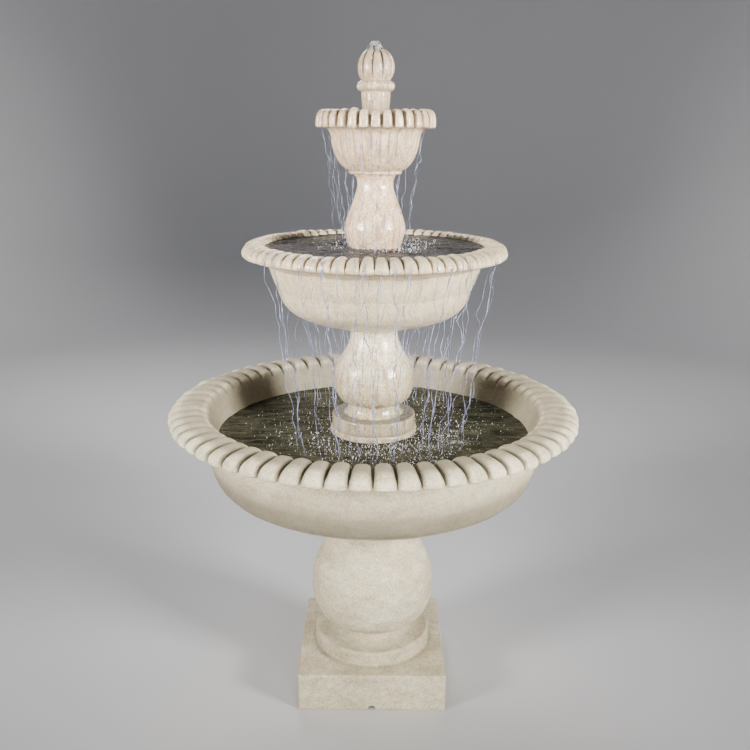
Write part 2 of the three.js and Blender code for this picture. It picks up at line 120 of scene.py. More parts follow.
NEARLY_STRAIGHT = -0.93  # cosine between the two sides of a corner that needs no rounding


def soften(outline, radius):
    """Rounds each sharp corner of a closed outline with a small quadratic arc."""
    points = [np.array(p, float) for p in outline]
    count = len(points)
    result = []
    for i, p in enumerate(points):
        before, after = points[i - 1] - p, points[(i + 1) % count] - p
        lengths = np.hypot(*before[:2]), np.hypot(*after[:2])
        cosine = before[:2] @ after[:2] / max(lengths[0] * lengths[1], 1e-9)
        if cosine < NEARLY_STRAIGHT:
            result.append(p)
            continue
        reach = min(radius, 0.45 * lengths[0], 0.45 * lengths[1])
        start, end = p + before / lengths[0] * reach, p + after / lengths[1] * reach
        for t in (0, 0.25, 0.5, 0.75, 1):
            result.append((1 - t) ** 2 * start + 2 * t * (1 - t) * p + t**2 * end)
    return result


def densify(outline, step, closed):
    """Adds points to an outline so that none are further apart than step."""
    points = [np.array(p, float) for p in outline]
    if closed:
        points.append(points[0])
    result = [points[0]]
    for a, b in zip(points, points[1:]):
        parts = max(1, math.ceil(np.hypot(*(b - a)[:2]) / step))
        result += [a + (b - a) * k / parts for k in range(1, parts + 1)]
    return np.array(result[:-1] if closed else result)


def outward(outline, closed):
    """Unit normals of an anticlockwise outline, pointing out of its section."""
    r, z = outline[:, 0], outline[:, 1]
    if closed:
        dr, dz = np.roll(r, -1) - np.roll(r, 1), np.roll(z, -1) - np.roll(z, 1)
    else:
        dr, dz = np.gradient(r), np.gradient(z)
    length = np.maximum(np.hypot(dr, dz), 1e-9)
    return np.stack([dz / length, -dr / length], 1)


# ---------------------------------------------------------------- meshes
def unevenness(points, wavelength, seed):
    """A smooth hand-cast waviness between about -1 and 1, from a few crossing waves."""
    waves = np.random.default_rng(seed)
    total = np.zeros(len(points))
    count = 14
    for _ in range(count):
        direction = waves.normal(size=3)
        direction /= np.linalg.norm(direction)
        pitch = wavelength * waves.uniform(0.7, 1.5)
        total += np.sin(points @ direction * (2 * math.pi / pitch) + waves.uniform(0, 2 * math.pi))
    return total / math.sqrt(count)


def grid_faces(rows, columns, rows_closed, first=0):
    """Quads between rows of corners that close round the axis; the row order sets the facing."""
    faces = []
    for i in range(rows if rows_closed else rows - 1):
        a, b = first + i * columns, first + (i + 1) % rows * columns
        for k in range(columns):
            n = (k + 1) % columns
            faces.append((a + k, a + n, b + n, b + k))
    return faces


def new_object(name, points, faces, attributes=None):
    """A smooth mesh object from points in millimetres."""
    mesh = bpy.data.meshes.new(name)
    mesh.from_pydata((np.asarray(points) * MM).tolist(), [], faces)
    for key, values in (attributes or {}).items():
        layer = mesh.attributes.new(key, "FLOAT", "POINT")
        layer.data.foreach_set("value", np.asarray(values, np.float32))
    mesh.update()
    thing = bpy.data.objects.new(name, mesh)
    bpy.context.scene.collection.objects.link(thing)
    return thing


def shade(thing, sharp_angle):
    """Smooth shading, with edges kept sharp where faces meet at more than the angle."""
    thing.data.shade_smooth()
    thing.data.set_sharp_from_angle(angle=math.radians(sharp_angle))


def roughen(thing, coarse, fine, seed):
    """Moves a cast piece's surface along its normals by the waviness, in millimetres."""
    count = len(thing.data.vertices)
    points, normals = np.zeros(count * 3), np.zeros(count * 3)
    thing.data.vertices.foreach_get("co", points)
    thing.data.vertices.foreach_get("normal", normals)
    points, normals = points.reshape(-1, 3), normals.reshape(-1, 3)
    push = coarse * unevenness(points, 0.11, seed) + fine * unevenness(points, 0.017, seed + 1)
    points += normals * (push * MM)[:, None]
    thing.data.vertices.foreach_set("co", points.ravel())
    thing.data.update()


def cut(thing, *cutters):
    """Subtracts cutter objects from a piece and removes them."""
    for cutter in cutters:
        modifier = thing.modifiers.new("cut", "BOOLEAN")
        modifier.operation = "DIFFERENCE"
        modifier.solver = "EXACT"
        modifier.object = cutter
    evaluated = thing.evaluated_get(bpy.context.evaluated_depsgraph_get())
    mesh = bpy.data.meshes.new_from_object(evaluated)
    thing.modifiers.clear()
    thing.data = mesh
    for cutter in cutters:
        bpy.data.objects.remove(cutter)


def arch_cutter(width, height, y0, y1, z):
    """A doorway-shaped cutter with a half-round head, from y0 to y1, standing just below z."""
    half = width / 2
    head = [math.pi * k / 16 for k in range(17)]
    section = [(half, -5)] + [(half * math.cos(a), height - half + half * math.sin(a)) for a in head]
    section.append((-half, -5))
    count = len(section)
    points = [(x, y, z + up) for y in (y0, y1) for x, up in section]
    faces = [tuple(range(count)), tuple(reversed(range(count, 2 * count)))]
    faces += [(k, k + count, (k + 1) % count + count, (k + 1) % count) for k in range(count)]
    return new_object("cutter", points, faces)


def water_object(name, points, faces, attributes=None):
    """A smooth-shaded mesh object with all its faces turned outwards."""
    thing = new_object(name, points, faces, attributes)
    mesh = bmesh.new()
    mesh.from_mesh(thing.data)
    bmesh.ops.recalc_face_normals(mesh, faces=mesh.faces)
    mesh.to_mesh(thing.data)
    mesh.free()
    thing.data.shade_smooth()
    return thing


def lobe_samples(lobes, per_lobe):
    """Angles round the axis, close together near the grooves, with each one's place from -1 to 1
    across its own lobe and the lobe's number. The first groove is at angle 0."""
    step = 2 * math.pi / lobes
    across = np.sin(np.linspace(-math.pi / 2, math.pi / 2, per_lobe + 1)[:-1])
    angles = (np.arange(lobes)[:, None] + (across[None, :] + 1) / 2) * step
    return angles.ravel(), np.tile(across, lobes), np.repeat(np.arange(lobes), per_lobe)


def turned(name, outline, lobes=0, per_lobe=14, segments=192, turn=0.0, closed=True, power=2.7,
           base=None, damp=None, grime_and_shade=None, uneven=(0.45, 0.2), step=7, seed=1):
    """A turned cast piece. An outline point is (radius, height) or, for a lobed piece, (radius,
    height, groove depth, lobe width as a share of its pitch). An outline that isn't closed starts
    and ends on the axis. damp gives how wet a point of the outline is; the grime and shade
    function gives how much dirt and painted shade it has, and deeper grooves get more of both."""
    outline = densify(outline, step, closed)
    normals = outward(outline, closed)
    base = level(name) if base is None else base
    if lobes:
        angles, across, lobe = lobe_samples(lobes, per_lobe)
        proud = rng.normal(0, LOBE_VARIATION, lobes)[lobe]
    else:
        angles = np.arange(segments) * 2 * math.pi / segments
    angles = angles + turn
    rows = outline if closed else outline[1:-1]
    row_normals = normals if closed else normals[1:-1]
    points, dirt_and_shade, wetness = [], [], []
    for p, n in zip(rows, row_normals):
        sunk = np.zeros(len(angles))
        if lobes:
            x = np.minimum(np.abs(across) / max(p[3], 0.05), 1)
            sunk = p[2] * (1 - (1 - x**power) ** (1 / power) - 2 * proud * (1 - x**2))
        r, z = p[0] - n[0] * sunk, p[1] - n[1] * sunk + base
        points.append(np.stack([r * np.sin(angles), -r * np.cos(angles), z + 0 * angles], 1))
        # Dirt and painted shade: more in deeper grooves, plus the grime and shade function's share.
        dirt_and_shade.append(np.clip(sunk / DARKEST_GROOVE + (grime_and_shade(p[0], p[1]) if grime_and_shade else 0), 0, 1))
        wetness.append(np.full(len(angles), damp(p[0], p[1]) if damp else 0.0))
    count = len(angles)
    faces = grid_faces(len(points), count, closed)
    points, dirt_and_shade, wetness = np.concatenate(points), np.concatenate(dirt_and_shade), np.concatenate(wetness)
    if not closed:
        ends = [(0, 0, outline[0][1] + base), (0, 0, outline[-1][1] + base)]
        low, high = len(points), len(points) + 1
        last = len(points) - count
        points = np.concatenate([points, ends])
        dirt_and_shade = np.append(dirt_and_shade, [0, 0])
        wetness = np.append(wetness, [damp(0, 0), damp(0, 1e3)] if damp else [0, 0])
        faces += [(low, (k + 1) % count, k) for k in range(count)]
        faces += [(high, last + k, last + (k + 1) % count) for k in range(count)]
    thing = new_object(name, points, faces, {"dirt_and_shade": dirt_and_shade, "damp": wetness})
    thing.name = name + "_stone"
    roughen(thing, *uneven, seed)
    return thing


# ---------------------------------------------------------------- cast-stone pieces
def base_pedestal():
    """The square plinth, its ring and the vase-shaped baluster, cored for the cord. Points are
    (radius or half side, height, squareness)."""
    half = PLINTH_HALF
    low, high = PLINTH_BEVEL, PLINTH_TOP - PLINTH_BEVEL
    top = level("base_pedestal", 1)
    outline = [
        (FOOT_HOLLOW_R, 0, 0),
        (half - PLINTH_BEVEL, 0, 1),
        *curve((half - low, 0, 1), (half - 1.6, 0, 1), (half, 1.6, 1), (half, low, 1), 4),
        (half, high, 1),
        *curve((half, high, 1), (half, PLINTH_TOP - 1.6, 1), (half - 1.6, PLINTH_TOP, 1),
               (half - PLINTH_BEVEL, PLINTH_TOP, 1), 4),
        (172, PLINTH_TOP, 0),
        *curve((172, PLINTH_TOP, 0), (166, 108, 0), (164, 110, 0), (164, 116, 0), 4),
        (164, 144, 0),
        *curve((164, 144, 0), (164, 149, 0), (161, 152, 0), (155, 151.7, 0), 4),
        *curve((155, 151.7, 0), (124, 150, 0), (101, 160, 0), (101, 183, 0), 12),
        *curve((101, 183, 0), (142, 185, 0), (172, 222, 0), (172, 292, 0), 22),
        *curve((172, 292, 0), (172, 387, 0), (109, 416, 0), (114, 498, 0), 30),
        *curve((114, 498, 0), (116, 535, 0), (126, 560, 0), (150, top - 8, 0), 12),
        (150, top, 0),
        (BORE_R, top, 0),
        (BORE_R, 118, 0),
        (FOOT_HOLLOW_R, 60, 0),
    ]
    rows = densify(outline, 7, closed=True)
    side, corner = 56, 8
    straight = np.linspace(-1, 1, side + 1)[:-1] * (1 - PLINTH_CORNER / half)
    around = [(s, -1.0) for s in straight]
    for k in range(corner):
        a = math.pi / 2 * k / corner
        inset, round_r = 1 - PLINTH_CORNER / half, PLINTH_CORNER / half
        around.append((inset + round_r * math.sin(a), -inset - round_r * math.cos(a)))
    quarter = np.array(around)
    square = np.concatenate([quarter @ np.array([[math.cos(t), math.sin(t)], [-math.sin(t), math.cos(t)]])
                             for t in (0, math.pi / 2, math.pi, 1.5 * math.pi)])
    circle = square / np.linalg.norm(square, axis=1)[:, None]
    points = [np.column_stack([r * (q * square + (1 - q) * circle), np.full(len(square), z)])
              for r, z, q in rows]
    faces = grid_faces(len(rows), len(square), True)
    # Dirt and painted shade in the crease at the ring's foot, painted shade at the waist where the bulb meets
    # the scotia, and a painted shadow on the neck under the basin.
    grime_and_shade = [max(0.75 * math.exp(-(((z - 110) / 5) ** 2) - (max(r - 168, 0) / 9) ** 2) if q < 1 else 0,
                 0.6 * math.exp(-((z - 182) / 13) ** 2), 0.56 * math.exp(-((z - 475) / 70) ** 2))
             for r, z, q in rows]
    thing = new_object("base_pedestal_stone", np.concatenate(points), faces,
                       {"dirt_and_shade": np.repeat(grime_and_shade, len(square)), "damp": np.zeros(len(rows) * len(square))})
    roughen(thing, 0.3, 0.12, 11)
    cut(thing, arch_cutter(NOTCH_WIDTH, NOTCH_HEIGHT, -half - 9, -120, 0))
    return thing


def lower_basin():
    """The widest bowl. Its rim rolls out in tapered tongues that the grooves part."""
    outline = [
        (0, 0, 0, 1),
        (157, 0, 0, 1),
        *curve((157, 0, 0, 1), (163, 0, 0, 1), (166, 0.5, 0, 1), (172, 1.2, 0, 1), 3),
        *curve((172, 1.2, 0, 1), (399, 12, 0, 1), (445, 20, 0, 1), (448, 180, 0, 1), 26),
        *curve((448, 180, 0, 1), (448, 196, 0, 1), (454, 210, 0, 1), (472, 212, 0, 1), 8),
        (532, 219, 7, 0.98),
        *curve((532, 219, 7, 0.98), (541, 220, 9, 0.98), (546, 224, 11, 0.97), (545, 232, 13, 0.97), 7),
        *curve((545, 232, 13, 0.97), (543, 247, 16, 0.96), (526, 259, 19, 0.95), (478, 259, 18, 0.93), 20),
        *curve((478, 259, 18, 0.93), (457, 259, 17, 0.92), (441, 247, 13, 0.92), (438, 228, 2, 0.96), 14),
        *curve((438, 228, 3, 0.9), (437, 221, 0, 1), (436, 217, 0, 1), (434, 209, 0, 1), 3),
        *curve((434, 209, 0, 1), (402, 133, 0, 1), (395, 53, 0, 1), (290, 45, 0, 1), 18),
        (0, 45, 0, 1),
    ]

    def damp(r, z):
        inside = np.clip((452 - r) / 12, 0, 1) * (z > 60)
        crown = np.clip((z - 244) / 12, 0, 1) * np.clip((528 - r) / 25, 0, 1)
        return max(inside, 0.55 * crown, 1.0 if r < 430 and 44 < z < 60 else 0.0)

    thing = turned("lower_basin", outline, lobes=LOWER_LOBES, per_lobe=10, closed=False, power=2.3,
                   damp=damp, step=16, seed=21)
    cutter = turned("cutter", [(0, -9), (DRAIN_R, -9), (DRAIN_R, 60), (0, 60)], segments=48,
                    closed=False, base=level("lower_basin"), uneven=(0, 0))
    cutter.location.x = DRAIN_X * MM
    bpy.context.view_layer.update()
    cut(thing, cutter)
    return thing


def pump_housing():
    """The drum in the basin that carries the columns, with four arches for the water."""
    height = level("pump_housing", 1) - level("pump_housing")
    section = [(92, 0), (117, 0), (117, height), (92, height)]
    thing = turned("pump_housing", soften(section, 7), segments=128, seed=31)
    low = level("pump_housing")
    arches = [arch_cutter(DRUM_ARCH_WIDTH, DRUM_ARCH_HEIGHT, -130, 130, low) for _ in range(2)]
    arches[1].rotation_euler.z = math.pi / 2
    bpy.context.view_layer.update()
    cut(thing, *arches)
    return thing


def middle_column():
    top = level("middle_column", 1) - level("middle_column")
    outline = [
        (24, 0), (112, 0), (112, 35.7), (83, 35.7),
        *curve((83, 35.7), (73, 38.7), (67.3, 49.7), (67.3, 67.7), 10),
        *curve((67.3, 67.7), (90, 67.7), (107, 89.7), (107, 124.7), 16),
        *curve((107, 124.7), (107, 199.7), (61.5, 198.7), (61.5, 265.7), 26),
        (61.5, top), (24, top),
    ]

    # Darker where a film of water lies on the foot's shelf, darker on the foot's side, and painted shade
    # under the swell of the bulb.
    def grime_and_shade(r, z):
        shelf = 1.0 if 35 < z < 38 and 78 < r < 111 else 0
        return max(shelf, 0.58 if z < 35 else 0, 0.62 * (1 - abs(z - 74) / 16) if 60 < z < 90 else 0)

    return turned("middle_column", soften(outline, 5), grime_and_shade=grime_and_shade, step=5, seed=41)


def middle_bowl():
    outline = [
        (15, 0, 0, 1), (84, 0, 0, 1), (86, 2, 0, 1), (86, 9, 0, 1), (88, 11, 0, 1), (99, 12, 0, 1),
        *curve((99, 12, 0, 1), (225, 27, 0, 1), (245, 60, 0, 1), (256, 125, 0, 1), 27),
        *curve((256, 125, 0, 1), (260, 152, 0, 1), (272, 176, 0, 1), (300, 182, 0, 1), 12),
        (331, 189, 2, 0.98),
        *curve((331, 189, 2, 0.98), (338, 189.5, 3.5, 0.98), (341.5, 193, 5, 0.97), (341, 200, 6, 0.96), 7),
        *curve((341, 200, 6, 0.96), (338, 217, 11, 0.93), (322, 225, 15, 0.86), (302, 225, 15, 0.81), 16),
        *curve((302, 225, 15, 0.81), (289, 225, 13, 0.81), (281, 219, 8, 0.86), (281, 204, 0, 1), 12),
        *curve((281, 204, 0, 1), (266, 110, 0, 1), (238, 51, 0, 1), (140, 47, 0, 1), 22),
        (15, 47, 0, 1),
    ]

    def damp(r, z):
        return 1.0 if r < 296 and z > 40 else 0.75

    return turned("middle_bowl", outline, lobes=MIDDLE_LOBES, per_lobe=10, damp=damp, power=3.4,
                  step=12, seed=51)


def upper_column():
    top = level("upper_column", 1) - level("upper_column")
    outline = [
        (20.5, 0), (74, 0), (74, 37.7),
        *curve((74, 37.7), (54, 43.7), (46, 62.7), (46, 102.7), 12),
        (46, 129.7),
        *curve((46, 129.7), (56, 141.7), (75, 175.7), (78.5, 209.7), 18),
        *curve((78.5, 209.7), (78.5, 235.7), (45.6, 293.7), (45.6, 319.7), 22),
        *curve((45.6, 319.7), (45.6, 329.7), (47, 337.7), (52.6, top - 3), 6),
        (52.6, top), (20.5, top),
    ]
    return turned("upper_column", soften(outline, 3), segments=160, seed=61)


def top_bowl():
    outline = [
        (13, 0, 0, 1), (64.5, 0, 0, 1), (66, 1.5, 0, 1), (66, 6.5, 0, 1), (67, 8, 0, 1), (70, 9, 0, 1),
        *curve((70, 9, 0.4, 0.9), (98, 23, 1.8, 0.9), (108, 57, 2.9, 0.9), (111.5, 89, 3.2, 0.9), 26),
        *curve((111.5, 89, 3.2, 0.9), (113, 99, 2.6, 0.9), (117, 105, 0.8, 0.92), (125, 109.5, 0.3, 0.95), 8),
        (143, 110.5, 7, 0.84),
        *curve((143, 110.5, 7, 0.84), (148.5, 110.5, 9, 0.83), (150, 112, 10, 0.81), (150, 118, 11, 0.79), 6),
        *curve((150, 118, 11, 0.79), (150, 146, 14, 0.76), (143, 154, 16, 0.74), (127, 154, 16, 0.72), 14),
        *curve((127, 154, 16, 0.72), (113, 154, 14, 0.73), (106, 146, 8, 0.8), (105, 128, 0, 1), 12),
        *curve((105, 128, 0, 1), (98, 76, 0, 1), (84, 49, 0, 1), (45, 47, 0, 1), 14),
        (13, 47, 0, 1),
    ]
    turn = -math.pi / TOP_LOBES
    return turned("top_bowl", outline, lobes=TOP_LOBES, per_lobe=20, turn=turn, step=4, power=3.4,
                  damp=lambda r, z: 1.0, uneven=(0.25, 0.1), seed=71)


def finial():
    top = level("finial", 1) - level("finial")
    outline = [
        (18, 0, 0, 1), (33, 0, 0, 1), (34, 1, 0, 1), (34, 8, 0, 1), (33, 9.5, 0, 1),
        *curve((33, 9.5, 0, 1), (26, 13, 0, 1), (24, 26, 0, 1), (24, 43.7, 0, 1), 6),
        (24, 87, 0, 1),
        *curve((24, 87, 0.3, 0.95), (32, 98, 1.6, 0.95), (36, 122, 2.4, 0.95), (36, 146, 0.8, 0.95), 16),
        *curve((36, 146, 0, 1), (36, 149, 0, 1), (38, 149.5, 0, 1), (41, 151.5, 0, 1), 4),
        *curve((41, 151.5, 0, 1), (47, 155, 0, 1), (47, 168, 0, 1), (41, 171.5, 0, 1), 10),
        *curve((41, 171.5, 0, 1), (38, 173.5, 0, 1), (36, 174, 0, 1), (35.5, 176.5, 0, 1), 4),
        *curve((35.5, 176.5, 0.5, 0.93), (53, 195, 8, 0.92), (46.5, 238, 9, 0.91), (19, top, 5, 0.92), 34),
        (9.5, top, 0, 1), (9.5, 11.7, 0, 1), (18, 9.7, 0, 1),
    ]
    thing = turned("finial", outline, lobes=FINIAL_LOBES, per_lobe=26, turn=FINIAL_TURN, power=2.5,
                   step=2.5, damp=lambda r, z: 1.0, grime_and_shade=lambda r, z: 0.54, uneven=(0.3, 0.14), seed=81)
    low, high = (level("finial") + height for height in COLLAR_HEIGHTS)
    for corner in thing.data.vertices:
        x, y, z = corner.co / MM
        swell = math.sin(math.pi * np.clip((z - low) / (high - low), 0, 1)) if math.hypot(x, y) > 35 else 0
        scallop = abs(math.sin(COLLAR_LOBES / 2 * math.atan2(x, -y))) - 0.7
        corner.co.xy *= 1 + 0.11 * swell * scallop
    return thing


# ---------------------------------------------------------------- water
def ripples(xy, sources, reach, height):
    """Surface height from rings that spread from each source and die away with distance."""
    total = np.zeros(len(xy))
    for (x, y), strength, pitch in sources:
        distance = np.hypot(xy[:, 0] - x, xy[:, 1] - y)
        total += strength * np.cos(2 * math.pi * distance / pitch) * np.exp(-distance / reach)
    return height * total


def pool(name, surface_z, inner_r, outer_r, rings, segments, sources, reach, height, froth):
    """A shallow slab of rippled water between a column and a bowl's wall. Its "foam" attribute is
    strongest round the column, where strands land, and towards the right front."""
    radii = np.linspace(inner_r, outer_r, rings)
    angles = np.arange(segments) * 2 * math.pi / segments
    r, a = (grid.ravel() for grid in np.meshgrid(radii, angles, indexing="ij"))
    xy = np.stack([r * np.sin(a), -r * np.cos(a)], 1)
    lift = ripples(xy, sources, reach, height)
    flat = np.column_stack([xy, 0 * lift]) * MM
    lift += 0.9 * height * unevenness(flat, 0.055, 91) + 0.5 * height * unevenness(flat, 0.021, 92)
    edge = np.minimum(r - inner_r, outer_r - r)
    lift = lift * np.clip(edge / 6, 0.2, 1) + 2.4 * np.exp(-edge / 2.2)
    top = np.column_stack([xy, surface_z + lift])
    foam = np.zeros(len(xy))
    for (x, y), strength, _ in sources:
        foam += 0.6 * strength * np.exp(-(np.hypot(xy[:, 0] - x, xy[:, 1] - y) / 22) ** 2)
    share = (r - inner_r) / (outer_r - inner_r)
    foam += 0.6 * np.exp(-((share - 0.3) / 0.25) ** 2)
    foam *= froth * (0.45 + 0.55 * np.clip(np.cos(a - FOAM_SIDE), 0, 1))
    foam += 1.1 * np.exp(-(r - inner_r) / 4) + 0.8 * np.exp(-(outer_r - r) / 1.8)
    depth = 9
    below = np.array([(rr * math.sin(t), -rr * math.cos(t), surface_z - depth)
                      for rr in (outer_r, inner_r) for t in angles])
    points = np.concatenate([top, below])
    faces = [tuple(reversed(f)) for f in grid_faces(rings + 2, segments, True)]
    attributes = {"foam": np.concatenate([foam, np.zeros(len(below))])}
    return water_object(name, points, faces, attributes)


def strand_path(angle, drape, end, sway):
    """A strand that clings to the (r, z) points of drape, then falls to end, drifting in towards the
    axis and kinking as it goes."""
    share = np.linspace(0, 1, STRAND_STEPS)
    knots = np.linspace(0, 1, STRAND_KINKS + 1)
    kink_r, kink_turn = (np.interp(share, knots, np.append(0, rng.normal(0, sway, STRAND_KINKS)))
                         for _ in range(2))
    lip = drape[-1]
    r = lip[0] + (end[0] - lip[0]) * share**0.85 + kink_r
    z = lip[1] + (end[1] - lip[1]) * share
    a = angle + rng.normal(0, 0.05) * share + kink_turn / r
    held_r, held_z = np.array(drape[:-1], float).reshape(-1, 2).T
    r, z = np.append(held_r, r), np.append(held_z, z)
    a = np.append(angle + rng.normal(0, 0.5 * sway, len(held_r)) / 300, a)
    return np.stack([r * np.sin(a), -r * np.cos(a), z], 1)


def strands(name, angles, drape, end, spread, sway, thickness):
    """Falling strands of water as one mesh of thin tubes that swell and narrow. drape and end are
    (r, z) points, and spread is how much the radius where each one lands varies."""
    points, faces = [], []
    for angle in angles:
        path = strand_path(angle, drape, (end[0] + rng.normal(0, spread), end[1]), sway)
        width = thickness * rng.uniform(0.55, 1.2)
        first = len(points)
        for i, centre in enumerate(path):
            swell = 1 + 0.35 * math.sin(i * 0.9 + angle * 40) + rng.normal(0, 0.16)
            end_taper = min(1.0, 0.35 + i / 5, 0.35 + (len(path) - 1 - i) / 5)
            radius = width * max(0.4, swell) * end_taper
            for k in range(STRAND_SIDES):
                a = 2 * math.pi * k / STRAND_SIDES
                points.append(centre + radius * np.array([math.cos(a), math.sin(a), 0]))
        faces += grid_faces(len(path), STRAND_SIDES, False, first)
        faces.append(tuple(first + k for k in reversed(range(STRAND_SIDES))))
        faces.append(tuple(len(points) - STRAND_SIDES + k for k in range(STRAND_SIDES)))
    return water_object(name, points, faces)


def drop_shape():
    """Corners and faces of a unit drop: a five-sided bead drawn up into a tip."""
    levels = [(-1, 0), (-0.6, 0.75), (0.3, 0.85), (1.5, 0)]
    sides = 5
    points, faces = [(0, 0, levels[0][0])], []
    for z, r in levels[1:-1]:
        points += [(r * math.cos(2 * math.pi * k / sides), r * math.sin(2 * math.pi * k / sides), z)
                   for k in range(sides)]
    points.append((0, 0, levels[-1][0]))
    faces += grid_faces(len(levels) - 2, sides, False, 1)
    faces += [(0, 1 + (k + 1) % sides, 1 + k) for k in range(sides)]
    last = len(points) - 1
    faces += [(last, last - sides + k, last - sides + (k + 1) % sides) for k in range(sides)]
    return np.array(points), faces


def spray(name, count, inner_r, outer_r, surface_z, height, size):
    """Fine droplets thrown up over a pool, as one mesh. They are thickest beside the column and
    towards the right front."""
    shape, shape_faces = drop_shape()
    points, faces = [], []
    for _ in range(count):
        a = rng.uniform(0, 2 * math.pi) if rng.random() < 0.45 else FOAM_SIDE + rng.normal(0, 0.85)
        r = inner_r + (outer_r - inner_r) * rng.beta(1.3, 2.0)
        up = min(rng.exponential(height), 5 * height)
        radius = size * rng.lognormal(0, 0.35)
        stretch = rng.uniform(1, 3.2)
        lean = rng.normal(0, 0.35, 2)
        first = len(points)
        for corner in shape:
            sheared = corner[:2] + lean * corner[2] * stretch
            points.append((r * math.sin(a) + radius * sheared[0], -r * math.cos(a) + radius * sheared[1],
                           surface_z + radius * stretch + up + radius * stretch * corner[2]))
        faces += [tuple(first + i for i in f) for f in shape_faces]
    return water_object(name, points, faces)


def gurgle():
    """The low dome of water that wells out of the spout and lies on the finial's crown."""
    rim = level("finial_spout", 1)
    crown = level("finial", 1)
    outline = [(9.6, rim - 1), (11.5, rim - 2), (13, rim - 5), (15.5, crown + 6),
               (19, crown + 1.5), (20, crown - 4), (17, crown - 5), (9.6, crown + 0.5)]
    outline = [(r, z) for r, z in reversed(outline)]
    rows = densify(soften(outline, 3), 1.6, closed=True)[::-1]
    segments = 72
    angles = np.arange(segments) * 2 * math.pi / segments
    points = []
    for r, z in rows:
        free = np.clip((r - 10) / 5, 0, 1)
        bulge = 1 + free * (0.2 * np.sin(angles - 2.4) + 0.14 * np.sin(3 * angles + 0.6)
                            + 0.1 * np.sin(5 * angles) + 0.07 * np.sin(9 * angles + 2))
        lift = free * (2.2 * np.sin(3 * angles + 1) + 1.2 * np.sin(7 * angles))
        points.append(np.stack([r * bulge * np.sin(angles), -r * bulge * np.cos(angles), z + lift], 1))
    return water_object("spout_water", np.concatenate(points), grid_faces(len(rows), segments, True))


# ---------------------------------------------------------------- materials
class Nodes:
    """Short calls for building one material's node tree."""

    def __init__(self, name):
        self.material = bpy.data.materials.new(name)
        self.material.use_nodes = True
        self.tree = self.material.node_tree
        self.shader = self.tree.nodes["Principled BSDF"]
        self.place = self.add("ShaderNodeTexCoord").outputs["Object"]

    def add(self, kind, **settings):
        node = self.tree.nodes.new(kind)
        for key, value in settings.items():
            setattr(node, key, value)
        return node

    def link(self, source, socket):
        if hasattr(source, "is_output"):
            self.tree.links.new(source, socket)
        else:
            socket.default_value = source

    def stretched(self, scale):
        """The place with each axis scaled, for grain that runs one way."""
        mapping = self.add("ShaderNodeMapping")
        self.link(self.place, mapping.inputs["Vector"])
        mapping.inputs["Scale"].default_value = scale
        return mapping.outputs["Vector"]

    def noise(self, scale, detail=4, roughness=0.55, place=None):
        node = self.add("ShaderNodeTexNoise")
        self.link(place or self.place, node.inputs["Vector"])
        node.inputs["Scale"].default_value = scale
        node.inputs["Detail"].default_value = detail
        node.inputs["Roughness"].default_value = roughness
        return node.outputs["Fac"]

    def cells(self, scale):
        node = self.add("ShaderNodeTexVoronoi")
        self.link(self.place, node.inputs["Vector"])
        node.inputs["Scale"].default_value = scale
        return node.outputs["Distance"]

    def attribute(self, name):
        return self.add("ShaderNodeAttribute", attribute_name=name).outputs["Fac"]

    def height(self):
        """How high the place is, in metres."""
        split = self.add("ShaderNodeSeparateXYZ")
        self.link(self.place, split.inputs[0])
        return split.outputs["Z"]

    def facing_up(self):
        """How far the surface faces the sky, from -1 to 1."""
        split = self.add("ShaderNodeSeparateXYZ")
        self.link(self.add("ShaderNodeNewGeometry").outputs["Normal"], split.inputs[0])
        return split.outputs["Z"]

    def remap(self, value, low, high, to_low=0.0, to_high=1.0):
        node = self.add("ShaderNodeMapRange")
        self.link(value, node.inputs["Value"])
        for key, number in (("From Min", low), ("From Max", high), ("To Min", to_low), ("To Max", to_high)):
            node.inputs[key].default_value = number
        return node.outputs["Result"]

    def sum(self, operation, a, b):
        node = self.add("ShaderNodeMath", operation=operation)
        self.link(a, node.inputs[0])
        self.link(b, node.inputs[1])
        return node.outputs[0]

    def mix(self, share, a, b, blend="MIX"):
        node = self.add("ShaderNodeMix", data_type="RGBA", blend_type=blend)
        self.link(share, node.inputs["Factor"])
        self.link(a, node.inputs["A"])
        self.link(b, node.inputs["B"])
        return node.outputs["Result"]

    def bump(self, height, strength, distance, under=None):
        node = self.add("ShaderNodeBump")
        self.link(height, node.inputs["Height"])
        node.inputs["Strength"].default_value = strength
        node.inputs["Distance"].default_value = distance
        if under:
            self.link(under, node.inputs["Normal"])
        return node.outputs["Normal"]

    def finish(self, colour, roughness, normal=None, **settings):
        self.link(colour, self.shader.inputs["Base Color"])
        self.link(roughness, self.shader.inputs["Roughness"])
        if normal:
            self.link(normal, self.shader.inputs["Normal"])
        for key, value in settings.items():
            self.shader.inputs[key.replace("_", " ")].default_value = value
        return self.material


def rgb(r, g, b):
    return (r, g, b, 1.0)


# Dark brown for dirt and painted shade in grooves, creases and pinholes.
DIRT_AND_SHADE = rgb(0.10, 0.085, 0.055)
# Pale cream for light specks and wisps in the stone, and for painted highlight streaks between wet runs.
HIGHLIGHT = rgb(0.97, 0.89, 0.70)
PINK_CAST = rgb(0.88, 0.65, 0.47)
GREEN_CAST = rgb(0.52, 0.50, 0.38)


def darker(colour, share):
    return rgb(*(share * c for c in colour[:3]))


def stone_patterns(n):
    """The patterns that a cast stone's colour, stains and relief share."""
    pits = n.remap(n.cells(120), 0.05, 0.16, 1, 0)
    return SimpleNamespace(
        mottling=n.noise(6, 6, 0.65),
        warmth=n.noise(13, 5, 0.65),
        blotches=n.noise(48, 6, 0.72),
        speckle=n.noise(210, 4, 0.78),
        grain=n.noise(520, 3, 0.75),
        pinholes=n.sum("MULTIPLY", pits, n.remap(n.noise(23, 2), 0.48, 0.6)),
        runs=n.noise(1, 6, 0.72, n.stretched((70, 70, 9))),
        wisps=n.noise(1, 7, 0.72, n.stretched((11, 11, 26))),
        damp=n.attribute("damp"),
        dirt_and_shade=n.attribute("dirt_and_shade"),
    )


